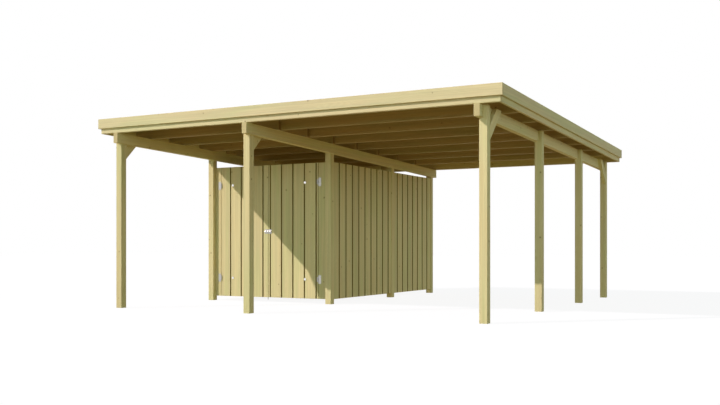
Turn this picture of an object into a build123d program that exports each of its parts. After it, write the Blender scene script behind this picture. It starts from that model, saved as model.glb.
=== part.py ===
"""Double carport of pressure-treated pine with a boarded store under its rear left bay.

Three rows of posts carry three beams that run front to back. Rafters cross the beams
from left to right, lapped side by side on the middle beam, and carry a boarded roof
that falls gently to the back inside a raised fascia. The store fills the rear left bay
behind a pair of boarded doors that swing outwards.

Frame: +X to the right, +Y to the back, +Z up, origin on the ground under the middle of
the roof. Sizes are in millimetres.
"""

import os
from math import cos, radians, tan

from build123d import *

os.makedirs("parts", exist_ok=True)

# Posts and their grid, between centre lines
post_size = 90
bay_left = 2015
bay_right = 2965
row_gap_front = 1915
row_gap_middle = 1895
row_gap_rear = 1520
arris = 3

# Roof outline and fall
side_overhang = 200
end_overhang = 115
roof_fall = 137
wall_head_gap = 23

# Beams and rafters
beam_width = 65
beam_height = 130
beam_end_setback = 18
notch_depth = 43
rafter_width = 45
rafter_height = 120
rafter_pitch = 671
rafter_count = 7
rafter_lap_past_beam = 30
rim_thickness = 28

# Fascia, boarding and covering
fascia_thickness = 28
fascia_height = 125
fascia_above_seat = 62
deck_thickness = 19
felt_thickness = 4
felt_upstand = 30

# Knee braces
brace_width = 110
brace_thickness = 45
brace_drop = 355
brace_angle = 45

# Store walls
wall_foot = 65
wall_height = 1900
board_thickness = 28
board_pitch = 192
groove_width = 20
groove_depth = 20
first_joint_front_panel = 166
first_joint_rear_panel = 134
wall_recess = 10
stud_bearing = 4
rail_thickness = 40
rail_height = 60
rail_inset = 120

# Doors
jamb_left_width = 98
jamb_right_width = 141
jamb_stud = 45
door_gap = 6
left_leaf_first_joint = 168
right_leaf_first_joint = 223
ledge_thickness = 25
ledge_height = 100
ledge_hinge_setback = 12
ledge_free_setback = 75
strut_width = 90

# Hinges
hinge_inset = 270
hinge_plate_height = 118
hinge_plate_width = 42
hinge_steel = 3
hinge_play = 1
hinge_axis_inset = 6
knuckle_radius = 8
pin_radius = 3.5
pin_play = 0.3
frame_knuckle_height = 18
strap_height = 33
strap_length = 300
hinge_bolt_offset = 208
hinge_bolt_radius = 17
hinge_bolt_height = 7
hinge_bolt_rounding = 6
hinge_nut_radius = 9
hinge_nut_height = 7

# Latch and drop bolt
latch_height = 60
latch_width = 56
latch_plate = 4
latch_level = 1012
latch_housing_radius = 9
drop_bolt_radius = 6
drop_bolt_inset = 24
drop_bolt_tip = 30
drop_bolt_length = 420
drop_bolt_handle = 36
drop_bolt_bend = 12
keeper_foot_low = 105
keeper_foot_high = 357
keeper_size = 40
keeper_thickness = 16

# Places worked out from the sizes above
roof_width = post_size + bay_left + bay_right + 2 * side_overhang
roof_depth = post_size + row_gap_front + row_gap_middle + row_gap_rear + 2 * end_overhang
roof_right = roof_width / 2
roof_front = -roof_depth / 2
roof_back = roof_depth / 2
half_post = post_size / 2

x_right = roof_right - side_overhang - half_post
x_middle = x_right - bay_right
x_left = x_middle - bay_left
y_front = roof_front + end_overhang + half_post
y_second = y_front + row_gap_front
y_third = y_second + row_gap_middle
y_rear = y_third + row_gap_rear
columns = {"left": x_left, "middle": x_middle, "right": x_right}
rows = {"front": y_front, "second": y_second, "third": y_third, "rear": y_rear}

# The roof stands on the beams, and its lowest beam clears the boards of the store
roof_slope = roof_fall / roof_depth
door_top = wall_foot + wall_height
rafter_seat_front = door_top + wall_head_gap + beam_height + roof_fall
rafter_top = rafter_height
deck_top = rafter_top + deck_thickness
tray_right = roof_right - fascia_thickness
tray_front = roof_front + fascia_thickness
tray_back = roof_back - fascia_thickness
rim_centre_front = tray_front + rafter_width / 2

store_left = x_left + half_post
store_right = x_middle - half_post
door_face = y_second + half_post - stud_bearing - board_thickness
door_left_edge = store_left + jamb_left_width
door_right_edge = store_right - jamb_right_width
leaf_width = (door_right_edge - door_left_edge - 3 * door_gap) / 2

WOOD = Color(0.78, 0.72, 0.50)
DARK_WOOD = Color(0.62, 0.55, 0.36)
STEEL = Color(0.72, 0.73, 0.74)
FELT = Color(0.20, 0.21, 0.22)


def seat(y):
    """Height of the rafters' undersides at a distance from the front, along the fall of the roof."""
    return rafter_seat_front - roof_slope * (y - roof_front)


def falling_outline(x, y_from, y_to, low, high, eased_corners=0):
    """Side view of a board that follows the fall; low and high are heights above the rafter seat.

    As many of its lowest corners as eased_corners says get an arris.
    """
    with BuildSketch(Plane.YZ.offset(x)) as outline:
        with BuildLine():
            Polyline(
                (y_from, seat(y_from) + low),
                (y_to, seat(y_to) + low),
                (y_to, seat(y_to) + high),
                (y_from, seat(y_from) + high),
                close=True,
            )
        make_face()
        if eased_corners:
            chamfer(outline.vertices().sort_by(Axis.Y)[:eased_corners], length=arris)
    return outline.sketch


def plan_rectangle(x_from, x_to, y_from, y_to, z):
    """Rectangle in plan at a height."""
    with BuildSketch(Plane.XY.offset(z)) as outline:
        with Locations(((x_from + x_to) / 2, (y_from + y_to) / 2)):
            Rectangle(x_to - x_from, y_to - y_from)
    return outline.sketch


def save(builder, label, color):
    """Label a finished piece and write its file."""
    builder.part.label = label
    builder.part.color = color
    export_step(builder.part, f"parts/{label}.step")


def beam_left_face(x_post, inner_side):
    """Left face of a beam let into its posts from the side that inner_side points to (+1 is right)."""
    housed_face = x_post + inner_side * (half_post - notch_depth)
    return housed_face if inner_side > 0 else housed_face - beam_width


beam_sides = {"left": 1, "middle": 1, "right": -1}
beam_faces = {name: beam_left_face(x, beam_sides[name]) for name, x in columns.items()}


# Posts: sawn square, cut to the fall at the top and housed on one side for the beam
def make_post(column, row):
    x_post = columns[column]
    y_post = rows[row]
    y_from = y_post - half_post
    y_to = y_post + half_post
    plan = plan_rectangle(x_post - half_post, x_post + half_post, y_from, y_to, 0)
    with BuildPart() as post:
        extrude(plan, amount=seat(y_from))
        chamfer(post.edges().filter_by(Axis.Z), length=arris)
        above = falling_outline(x_post - post_size, y_from - arris, y_to + arris, 0, post_size)
        extrude(above, amount=2 * post_size, mode=Mode.SUBTRACT)
        housing = falling_outline(beam_faces[column], y_from - arris, y_to + arris, -beam_height, post_size)
        extrude(housing, amount=beam_width, mode=Mode.SUBTRACT)
    save(post, f"post_{row}_{column}", WOOD)


for row_name in rows:
    for column_name in columns:
        make_post(column_name, row_name)


# The post that stops the boards in the middle of the store's back wall runs up to the roof boarding
x_back_post = (x_left + x_middle) / 2
back_post_front = y_rear - half_post
back_post_back = y_rear + half_post
back_post_left = x_back_post - half_post
back_post_right = x_back_post + half_post
with BuildPart() as back_post:
    back_post_plan = plan_rectangle(back_post_left, back_post_right, back_post_front, back_post_back, 0)
    extrude(back_post_plan, amount=seat(back_post_front) + rafter_top)
    chamfer(back_post.edges().filter_by(Axis.Z), length=arris)
    above_back_post = falling_outline(
        x_back_post - post_size, back_post_front - arris, back_post_back + arris, rafter_top, 2 * rafter_top
    )
    extrude(above_back_post, amount=2 * post_size, mode=Mode.SUBTRACT)
save(back_post, "post_back_wall", WOOD)

# Beams: one along each row of posts, standing out past the end posts
beam_front = roof_front + beam_end_setback
beam_back = roof_back - beam_end_setback
for column_name, left_face in beam_faces.items():
    with BuildPart() as beam:
        extrude(falling_outline(left_face, beam_front, beam_back, -beam_height, 0), amount=beam_width)
        long_edges = beam.edges().filter_by(lambda edge: edge.length > roof_depth / 2)
        chamfer(long_edges.sort_by(Axis.Z)[:2], length=arris)
    save(beam, f"beam_{column_name}", WOOD)


# Knee braces: set against the outer face of the beam, from a post up to the rafters
def make_brace(name, column, y_post_face, direction):
    outer = beam_sides[column] < 0
    brace_left = beam_faces[column] + beam_width if outer else beam_faces[column] - brace_thickness
    face_seat = seat(y_post_face)
    drop_high = brace_drop - brace_width / cos(radians(brace_angle))
    y_low = y_post_face + direction * brace_drop / tan(radians(brace_angle))
    y_high = y_post_face + direction * drop_high / tan(radians(brace_angle))
    with BuildPart() as brace:
        with BuildSketch(Plane.YZ.offset(brace_left)) as brace_outline:
            with BuildLine():
                Polyline(
                    (y_post_face, face_seat - brace_drop),
                    (y_low, seat(y_low)),
                    (y_high, seat(y_high)),
                    (y_post_face, face_seat - drop_high),
                    close=True,
                )
            make_face()
        extrude(amount=brace_thickness)
    save(brace, name, WOOD)


for column_name in columns:
    make_brace(f"knee_brace_front_{column_name}", column_name, y_front + half_post, 1)
make_brace("knee_brace_rear_right", "right", y_rear - half_post, -1)

# Rafters: those of the left bay lie just in front of those of the right bay where they lap
rafter_lines = [rim_centre_front + rafter_pitch * (number + 1) for number in range(rafter_count)]
left_rafter_end = beam_faces["middle"] + beam_width + rafter_lap_past_beam
right_rafter_end = beam_faces["middle"] - rafter_lap_past_beam
rafter_spans = {
    "rafters_left_bay": (-tray_right + rim_thickness, left_rafter_end, -rafter_width),
    "rafters_right_bay": (right_rafter_end, tray_right - rim_thickness, 0),
}
for rafter_node, (span_from, span_to, shift) in rafter_spans.items():
    with BuildPart() as rafters:
        for line in rafter_lines:
            rafter_front = line + shift - rafter_width / 2
            rafter_back = rafter_front + rafter_width
            outline = falling_outline(span_from, rafter_front, rafter_back, 0, rafter_top, eased_corners=2)
            extrude(outline, amount=span_to - span_from)
    save(rafters, rafter_node, DARK_WOOD)

# Rim boards: the front and rear ones are rafters, the side ones close the rafter ends
rim_inner_front = tray_front + rafter_width
rim_inner_back = tray_back - rafter_width
for rim_name, y_from, y_to in (
    ("rim_front", tray_front, rim_inner_front),
    ("rim_rear", rim_inner_back, tray_back),
):
    with BuildPart() as rim:
        extrude(
            falling_outline(-tray_right, y_from, y_to, 0, rafter_top, eased_corners=2),
            amount=2 * tray_right,
        )
    save(rim, rim_name, WOOD)
for rim_name, x_from in (("rim_left", -tray_right), ("rim_right", tray_right - rim_thickness)):
    with BuildPart() as rim:
        extrude(
            falling_outline(x_from, rim_inner_front, rim_inner_back, 0, rafter_top), amount=rim_thickness
        )
    save(rim, rim_name, WOOD)

# Fascia: a taller board outside the rim on every side, standing above the roof boarding
fascia_top = fascia_above_seat + fascia_height
for fascia_name, y_from, y_to in (
    ("fascia_front", roof_front, tray_front),
    ("fascia_rear", tray_back, roof_back),
):
    with BuildPart() as fascia:
        extrude(
            falling_outline(-roof_right, y_from, y_to, fascia_above_seat, fascia_top, eased_corners=4),
            amount=roof_width,
        )
    save(fascia, fascia_name, WOOD)
for fascia_name, x_from in (("fascia_left", -roof_right), ("fascia_right", tray_right)):
    with BuildPart() as fascia:
        extrude(
            falling_outline(x_from, tray_front, tray_back, fascia_above_seat, fascia_top),
            amount=fascia_thickness,
        )
        chamfer(fascia.edges().filter_by(lambda edge: edge.length > roof_depth / 2), length=arris)
    save(fascia, fascia_name, WOOD)

# Roof boarding and its felt, which turns up a little inside the fascia
tray_width = 2 * tray_right
felt_top = deck_top + felt_upstand
with BuildPart() as deck:
    extrude(falling_outline(-tray_right, tray_front, tray_back, rafter_top, deck_top), amount=tray_width)
save(deck, "roof_boarding", DARK_WOOD)

with BuildPart() as felt:
    extrude(falling_outline(-tray_right, tray_front, tray_back, deck_top, felt_top), amount=tray_width)
    hollow = falling_outline(
        felt_thickness - tray_right,
        tray_front + felt_thickness,
        tray_back - felt_thickness,
        deck_top + felt_thickness,
        felt_top + felt_upstand,
    )
    extrude(hollow, amount=tray_width - 2 * felt_thickness, mode=Mode.SUBTRACT)
save(felt, "roof_felt", FELT)


# Boarded panels: upright boards whose rebated joints show as grooves on the outer face
def boarded_outline(length, first_joint):
    """Plan of a panel laid along X from the origin, outer face on Y = 0 and boards behind it."""
    joints = []
    joint = first_joint
    while joint < length - groove_width:
        joints.append((joint, groove_depth / 2))
        joint += board_pitch
    with BuildSketch() as outline:
        with Locations((length / 2, board_thickness / 2)):
            Rectangle(length, board_thickness)
        with Locations(*joints):
            Rectangle(groove_width, groove_depth, mode=Mode.SUBTRACT)
    return outline.sketch


def make_wall(name, place, length, first_joint):
    """Wall panel; place is the plane of its plan, with its own X along the wall and Y into it."""
    with BuildPart() as wall:
        extrude(place * boarded_outline(length, first_joint), amount=wall_height)
    save(wall, name, WOOD)


right_face = x_middle + half_post - wall_recess
left_face = x_left - half_post + wall_recess
back_face = y_rear + half_post - wall_recess
front_panel_start = y_second + half_post
front_panel_length = row_gap_middle - post_size
rear_panel_start = y_third + half_post
rear_panel_length = row_gap_rear - post_size
back_panel_length = (x_middle - x_left) / 2 - post_size


def place_at(x, y, along):
    """Plan plane at the foot of the walls, its X axis pointing along the wall."""
    return Plane(origin=(x, y, wall_foot), x_dir=along, z_dir=(0, 0, 1))


make_wall(
    "wall_right_front",
    place_at(right_face, front_panel_start, (0, 1, 0)),
    front_panel_length,
    first_joint_front_panel,
)
make_wall(
    "wall_right_rear",
    place_at(right_face, rear_panel_start, (0, 1, 0)),
    rear_panel_length,
    first_joint_rear_panel,
)
make_wall(
    "wall_left_front",
    place_at(left_face, front_panel_start + front_panel_length, (0, -1, 0)),
    front_panel_length,
    first_joint_front_panel,
)
make_wall(
    "wall_left_rear",
    place_at(left_face, rear_panel_start + rear_panel_length, (0, -1, 0)),
    rear_panel_length,
    first_joint_rear_panel,
)
make_wall(
    "wall_back_left",
    place_at(x_back_post - half_post, back_face, (-1, 0, 0)),
    back_panel_length,
    first_joint_front_panel,
)
make_wall(
    "wall_back_right",
    place_at(x_middle - half_post, back_face, (-1, 0, 0)),
    back_panel_length,
    first_joint_front_panel,
)

# Rails: two inside each panel, between the posts, that the boards are nailed to
rail_levels = (wall_foot + rail_inset, door_top - rail_inset - rail_height)
right_inside = right_face - board_thickness
left_inside = left_face + board_thickness
back_inside = back_face - board_thickness
rail_plans = []
for y_start, length in (
    (front_panel_start, front_panel_length),
    (rear_panel_start, rear_panel_length),
):
    rail_plans.append((right_inside - rail_thickness, right_inside, y_start, y_start + length))
    rail_plans.append((left_inside, left_inside + rail_thickness, y_start, y_start + length))
for x_end in (x_back_post - half_post, x_middle - half_post):
    rail_plans.append((x_end - back_panel_length, x_end, back_inside - rail_thickness, back_inside))
with BuildPart() as wall_rails:
    for level in rail_levels:
        for x_from, x_to, y_from, y_to in rail_plans:
            extrude(plan_rectangle(x_from, x_to, y_from, y_to, level), amount=rail_height)
save(wall_rails, "wall_rails", DARK_WOOD)


# Door jambs: a boarded strip on a stud that is fixed to the post and stops short of the leaf
leaf_back = door_face + board_thickness


def make_jamb(name, post_face, width, direction):
    strip_ends = sorted((post_face, post_face + direction * width))
    with BuildPart() as jamb:
        extrude(plan_rectangle(*strip_ends, door_face, leaf_back, wall_foot), amount=wall_height)
    save(jamb, name, WOOD)


make_jamb("door_jamb_left", store_left, jamb_left_width, 1)
make_jamb("door_jamb_right", store_right, jamb_right_width, -1)

with BuildPart() as studs:
    for stud_from in (store_left, store_right - jamb_stud):
        stud_plan = plan_rectangle(
            stud_from, stud_from + jamb_stud, leaf_back, leaf_back + jamb_stud, wall_foot
        )
        extrude(stud_plan, amount=wall_height)
save(studs, "door_studs", DARK_WOOD)

# Door leaves: boards held by two ledges and a slanting strut on the inside
left_leaf_start = door_left_edge + door_gap
left_leaf_end = left_leaf_start + leaf_width
right_leaf_start = left_leaf_end + door_gap
right_leaf_end = right_leaf_start + leaf_width
ledge_back = leaf_back + ledge_thickness
hinge_levels = (wall_foot + hinge_inset, door_top - hinge_inset)


def make_leaf(name, start, first_joint, hinge_on_left):
    """Boarded leaf; its hinge edge is notched where each strap passes to the inside."""
    notch_from = start if hinge_on_left else start + leaf_width - hinge_steel - hinge_play
    notch_to = notch_from + hinge_steel + hinge_play
    notch_height = strap_height + 2 * hinge_play
    with BuildPart() as leaf:
        plan = place_at(start, door_face, (1, 0, 0)) * boarded_outline(leaf_width, first_joint)
        extrude(plan, amount=wall_height)
        for level in hinge_levels:
            notch = plan_rectangle(notch_from, notch_to, door_face, leaf_back, level - notch_height / 2)
            extrude(notch, amount=notch_height, mode=Mode.SUBTRACT)
    save(leaf, name, WOOD)


def make_ledges(name, start, hinge_on_left):
    """Two ledges at the height of the hinges and the strut between them, joined as one frame."""
    inward = 1 if hinge_on_left else -1
    hinge_side = (start if hinge_on_left else start + leaf_width) + inward * ledge_hinge_setback
    free_side = (start + leaf_width if hinge_on_left else start) - inward * ledge_free_setback
    strut_foot = hinge_levels[0] + ledge_height / 2
    strut_head = hinge_levels[1] - ledge_height / 2
    with BuildPart() as ledges:
        with BuildSketch(Plane.XZ.offset(-leaf_back)):
            for level in hinge_levels:
                with Locations(((hinge_side + free_side) / 2, level)):
                    Rectangle(abs(free_side - hinge_side), ledge_height)
            with BuildLine():
                Polyline(
                    (hinge_side, strut_foot),
                    (hinge_side + inward * strut_width, strut_foot),
                    (free_side, strut_head),
                    (free_side - inward * strut_width, strut_head),
                    close=True,
                )
            make_face()
        extrude(amount=-ledge_thickness)
    save(ledges, name, DARK_WOOD)


make_leaf("door_left_boards", left_leaf_start, left_leaf_first_joint, True)
make_leaf("door_right_boards", right_leaf_start, right_leaf_first_joint, False)
make_ledges("door_left_ledges", left_leaf_start, True)
make_ledges("door_right_ledges", right_leaf_start, False)

# Hinges: a plate on the jamb carries two knuckles and the pin between them. The bored knuckle of a cranked
# strap turns on the pin; the strap passes through the notch in the leaf's edge and lies along the ledge,
# held by a bolt from outside
hinge_axis_y = door_face - hinge_play - knuckle_radius
left_hinge_x = left_leaf_start + hinge_axis_inset
right_hinge_x = right_leaf_end - hinge_axis_inset


def round_about_axis(x_axis, foot, radius, height, mode=Mode.ADD):
    """Upright round bar about the hinge's axis, added or bored out."""
    with BuildSketch(Plane.XY.offset(foot)) as outline:
        with Locations((x_axis, hinge_axis_y)):
            Circle(radius)
    extrude(outline.sketch, amount=height, mode=mode)


def jamb_half(x_axis, x_jamb, level, outward):
    """Plate, two knuckles and the pin; outward points away from the leaf."""
    plate_ends = sorted((x_jamb, x_jamb + outward * hinge_plate_width))
    plate = plan_rectangle(
        *plate_ends, door_face - hinge_steel, door_face, level - hinge_plate_height / 2
    )
    extrude(plate, amount=hinge_plate_height)
    tab_ends = sorted((x_axis, x_jamb + outward * hinge_plate_width / 2))
    gap_to_strap = strap_height / 2 + pin_play
    pin_foot = level - gap_to_strap - frame_knuckle_height
    for foot in (level + gap_to_strap, pin_foot):
        tab = plan_rectangle(*tab_ends, door_face - hinge_steel - hinge_play, door_face - hinge_play, foot)
        extrude(tab, amount=frame_knuckle_height)
        round_about_axis(x_axis, foot, knuckle_radius, frame_knuckle_height)
    round_about_axis(x_axis, pin_foot, pin_radius, 2 * (level - pin_foot))


def strap_half(x_axis, x_edge, level, inward):
    """Bored knuckle, cranked strap and nut as one piece; x_edge is the leaf's hinge edge."""
    foot = level - strap_height / 2
    round_about_axis(x_axis, foot, knuckle_radius, strap_height)
    crank_ends = sorted((x_edge, x_edge + inward * hinge_steel))
    extrude(plan_rectangle(*crank_ends, hinge_axis_y, ledge_back + hinge_steel, foot), amount=strap_height)
    round_about_axis(x_axis, foot, pin_radius + pin_play, strap_height, Mode.SUBTRACT)
    strap_end = strap_length - strap_height / 2
    with BuildSketch(Plane.XZ.offset(-ledge_back)) as strap:
        with Locations((x_edge + inward * strap_end / 2, level)):
            Rectangle(strap_end, strap_height)
        with Locations((x_edge + inward * strap_end, level)):
            Circle(strap_height / 2)
    extrude(strap.sketch, amount=-hinge_steel)
    with BuildSketch(Plane.XZ.offset(-ledge_back - hinge_steel)) as nut:
        with Locations((x_axis + inward * hinge_bolt_offset, level)):
            RegularPolygon(hinge_nut_radius, 6)
    extrude(nut.sketch, amount=-hinge_nut_height)


with BuildPart() as bolt_dome:
    with BuildSketch(Plane.XZ):
        Circle(hinge_bolt_radius)
    extrude(amount=hinge_bolt_height)
    fillet(bolt_dome.faces().sort_by(Axis.Y)[0].edges(), radius=hinge_bolt_rounding)


def bolt_head(x, z):
    """Domed head on the outer face of a leaf."""
    with Locations((x, door_face, z)):
        add(bolt_dome.part)


with BuildPart() as frame_hinges:
    for hinge_level in hinge_levels:
        jamb_half(left_hinge_x, door_left_edge, hinge_level, -1)
        jamb_half(right_hinge_x, door_right_edge, hinge_level, 1)
save(frame_hinges, "jamb_hinge_plates", STEEL)


def latch_part(x_from, x_to):
    """Half of the sliding latch: a plate with a rounded housing for the rod across it."""
    extrude(
        plan_rectangle(x_from, x_to, door_face - latch_plate, door_face, latch_level - latch_height / 2),
        amount=latch_height,
    )
    with BuildSketch(Plane.YZ.offset(x_from)) as housing:
        with Locations((door_face - latch_housing_radius, latch_level)):
            Circle(latch_housing_radius)
    extrude(housing.sketch, amount=x_to - x_from)


with BuildPart() as left_fittings:
    for hinge_level in hinge_levels:
        strap_half(left_hinge_x, left_leaf_start, hinge_level, 1)
        bolt_head(left_hinge_x + hinge_bolt_offset, hinge_level)
    latch_part(left_leaf_end - latch_width, left_leaf_end)
save(left_fittings, "door_left_hinges_and_latch", STEEL)

with BuildPart() as right_fittings:
    for hinge_level in hinge_levels:
        strap_half(right_hinge_x, right_leaf_end, hinge_level, -1)
        bolt_head(right_hinge_x - hinge_bolt_offset, hinge_level)
    latch_part(right_leaf_start, right_leaf_start + latch_width)
save(right_fittings, "door_right_hinges_and_latch", STEEL)

# Drop bolt: a rod bent over into a handle, in two keepers on the inside of the left leaf
drop_bolt_x = left_leaf_end - drop_bolt_inset
drop_bolt_y = leaf_back + keeper_thickness / 2
drop_bolt_top = drop_bolt_tip + drop_bolt_length
with BuildPart() as drop_bolt:
    with BuildLine():
        FilletPolyline(
            (drop_bolt_x, drop_bolt_y, drop_bolt_tip),
            (drop_bolt_x, drop_bolt_y, drop_bolt_top),
            (drop_bolt_x - drop_bolt_handle, drop_bolt_y, drop_bolt_top),
            radius=drop_bolt_bend,
        )
    with BuildSketch(Plane.XY.offset(drop_bolt_tip)):
        with Locations((drop_bolt_x, drop_bolt_y)):
            Circle(drop_bolt_radius)
    sweep()
    for keeper_foot in (keeper_foot_low, keeper_foot_high):
        keeper_plan = plan_rectangle(
            drop_bolt_x - keeper_size / 2,
            drop_bolt_x + keeper_size / 2,
            leaf_back,
            leaf_back + keeper_thickness,
            drop_bolt_tip + keeper_foot,
        )
        extrude(keeper_plan, amount=keeper_size)
save(drop_bolt, "drop_bolt", STEEL)

print(f"roof {roof_width:.0f} x {roof_depth:.0f}, rafter seat {rafter_seat_front:.0f}")
print(f"leaf width {leaf_width:.1f}")
print(f"hinge axes x {left_hinge_x:.1f} and {right_hinge_x:.1f}, y {hinge_axis_y:.1f}")
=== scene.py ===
# %% [markdown]
# # A carport of pale green pine, dressed board by board
# The imported model gives the timbers, the fittings and the two doors that swing. This lesson adds what
# a joiner would: separate boards with their own grain, the covering on the roof, and the screws.
# First the frame is loaded. Its box is kept.

# %% Load the frame
import math
import random

import bmesh
import bpy
from mathutils import Matrix, Vector


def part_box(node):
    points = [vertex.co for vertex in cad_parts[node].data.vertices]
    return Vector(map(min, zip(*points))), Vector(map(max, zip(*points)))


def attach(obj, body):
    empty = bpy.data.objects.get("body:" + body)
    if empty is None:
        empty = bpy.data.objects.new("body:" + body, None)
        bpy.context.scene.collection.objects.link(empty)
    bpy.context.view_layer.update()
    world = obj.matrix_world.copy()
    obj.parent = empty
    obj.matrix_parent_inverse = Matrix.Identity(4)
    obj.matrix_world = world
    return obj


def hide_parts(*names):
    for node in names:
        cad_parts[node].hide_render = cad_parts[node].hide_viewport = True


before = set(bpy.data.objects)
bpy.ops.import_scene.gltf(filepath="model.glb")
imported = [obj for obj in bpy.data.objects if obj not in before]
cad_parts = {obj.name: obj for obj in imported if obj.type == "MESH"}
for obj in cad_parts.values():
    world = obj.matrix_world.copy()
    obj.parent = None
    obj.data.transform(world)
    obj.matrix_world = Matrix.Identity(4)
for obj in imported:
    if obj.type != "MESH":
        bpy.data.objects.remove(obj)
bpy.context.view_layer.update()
CARPORT = "carport"
LEFT_DOOR = "door_left"
RIGHT_DOOR = "door_right"
print("nodes:", len(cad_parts))

# %% [markdown]
# ## The camera
# A camera with its back kept upright leaves posts parallel. It looks level, and its frame is shifted
# up, as an architect's camera is, so the roof fits in without tilting.

# %% Camera
PICTURE_WIDTH = 720
FOCAL_PIXELS = 881.07
HORIZON_BELOW_CENTRE = 44.48
SENSOR_WIDTH = 36.0
CAMERA_PLACE = (5.6586, -11.2772, 0.7886)
CAMERA_TURN = math.radians(28.256)

camera_data = bpy.data.cameras.new("camera")
camera_data.sensor_width = SENSOR_WIDTH
camera_data.lens = FOCAL_PIXELS / PICTURE_WIDTH * SENSOR_WIDTH
camera_data.shift_y = HORIZON_BELOW_CENTRE / PICTURE_WIDTH
camera_data.clip_end = 200.0
camera = bpy.data.objects.new("camera", camera_data)
camera.location = CAMERA_PLACE
camera.rotation_euler = (math.radians(90), 0, CAMERA_TURN)
bpy.context.scene.collection.objects.link(camera)
bpy.context.scene.camera = camera
bpy.context.scene.view_settings.view_transform = "Standard"
print("lens", round(camera_data.lens, 2), "mm")

# %% [markdown]
# ## Small helpers for node trees
# A material is a tree of nodes. A few helpers keep the trees short to read. One turns a colour as seen
# on a screen into the linear numbers that shaders work in, one makes a node and fills its sockets, and
# the rest are short names for the sums and mixes that every material uses.


# %% Node helpers
def screen_colour(red, green, blue):
    """A colour given in screen values from 0 to 255, as linear numbers with an alpha of 1."""
    linear = []
    for value in (red, green, blue):
        share = value / 255
        linear.append(share / 12.92 if share <= 0.04045 else ((share + 0.055) / 1.055) ** 2.4)
    return (*linear, 1.0)


def fill_sockets(tree, node, inputs):
    """Fill input sockets by name or number: a socket is joined on, anything else is set as a value."""
    for name, value in inputs.items():
        if hasattr(value, "is_output"):
            tree.links.new(value, node.inputs[name])
        else:
            node.inputs[name].default_value = value


def add_node(tree, kind, inputs=None, **settings):
    """Add a node, set its own properties, then fill its input sockets."""
    new_node = tree.nodes.new(kind)
    for name, value in settings.items():
        setattr(new_node, name, value)
    fill_sockets(tree, new_node, inputs or {})
    return new_node


def sums(tree, operation, *values):
    """A Math node's result."""
    return add_node(tree, "ShaderNodeMath", dict(enumerate(values)), operation=operation).outputs[0]


def vector_sums(tree, operation, *values):
    """A Vector Math node's vector."""
    return add_node(tree, "ShaderNodeVectorMath", dict(enumerate(values)), operation=operation).outputs[0]


def near_one(tree, value, amount):
    """A factor around 1 that a value from 0 to 1 moves by an amount."""
    return sums(tree, "MULTIPLY_ADD", value, amount, 1.0 - amount / 2)


def ramp(tree, value, low, high, to_low=0.0, to_high=1.0):
    """Value spread smoothly from low..high to to_low..to_high."""
    mapped = add_node(
        tree,
        "ShaderNodeMapRange",
        {"Value": value, "From Min": low, "From Max": high, "To Min": to_low, "To Max": to_high},
        interpolation_type="SMOOTHSTEP",
    )
    return mapped.outputs["Result"]


MIX_FIRST_COLOUR = 6
MIX_SECOND_COLOUR = 7
MIX_COLOUR_RESULT = 2


def mix_colours(tree, share, first, second):
    """Two colours mixed by a share."""
    inputs = {0: share, MIX_FIRST_COLOUR: first, MIX_SECOND_COLOUR: second}
    return add_node(tree, "ShaderNodeMix", inputs, data_type="RGBA").outputs[MIX_COLOUR_RESULT]


def scaled_colour(tree, colour, factor):
    """A colour made lighter or darker."""
    if not hasattr(colour, "is_output"):
        colour = colour[:3]
    return add_node(tree, "ShaderNodeVectorMath", {0: colour, "Scale": factor}, operation="SCALE").outputs[0]


def new_group(name, inputs, outputs):
    """An empty shader node group with named sockets, and its input and output nodes."""
    group = bpy.data.node_groups.new(name, "ShaderNodeTree")
    for socket_name, (kind, default) in inputs.items():
        socket = group.interface.new_socket(name=socket_name, in_out="INPUT", socket_type=kind)
        if default is not None:
            socket.default_value = default
    for socket_name, kind in outputs.items():
        group.interface.new_socket(name=socket_name, in_out="OUTPUT", socket_type=kind)
    return group, group.nodes.new("NodeGroupInput").outputs, group.nodes.new("NodeGroupOutput").inputs


FLOAT = "NodeSocketFloat"
VECTOR = "NodeSocketVector"
COLOUR = "NodeSocketColor"

# %% [markdown]
# ## Pine as a node group
# All the timber is one kind of wood, so its figure is one group with named inputs. The group takes a
# vector whose Z runs along the grain and a seed, and shifts the pattern by the seed, so no two boards
# match. It layers long streaks, a slow drift from green to straw left by the preservative, rings, and
# knots. A knot is a spot around the nearest point of a Voronoi pattern laid on the board's face; the
# distance is measured in metres, so knots stay round however the cells are stretched.

# %% The pine group
SEED_SHIFT = (7.0, 7.0, 23.0)
DRIFT_STRETCH = (7.0, 7.0, 0.9)
STREAK_STRETCH = (46.0, 46.0, 0.8)
PORE_STRETCH = (330.0, 330.0, 5.0)
BEND_STRETCH = (4.0, 4.0, 0.7)
RING_SPACING = 0.011
RING_BEND = 0.55
KNOT_CELLS = (5.2, 2.3, 1.0)
KNOT_RADIUS = 0.0034
KNOT_SPREAD = 0.0042
KNOT_WOBBLE = 0.002
KNOT_CORE = (0.75, 1.25)
KNOT_HALO = (1.0, 3.6)
BOARD_TONE = 0.08
STREAK_TONE = 0.13
PORE_TONE = 0.08
RING_TONE = 0.018


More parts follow.
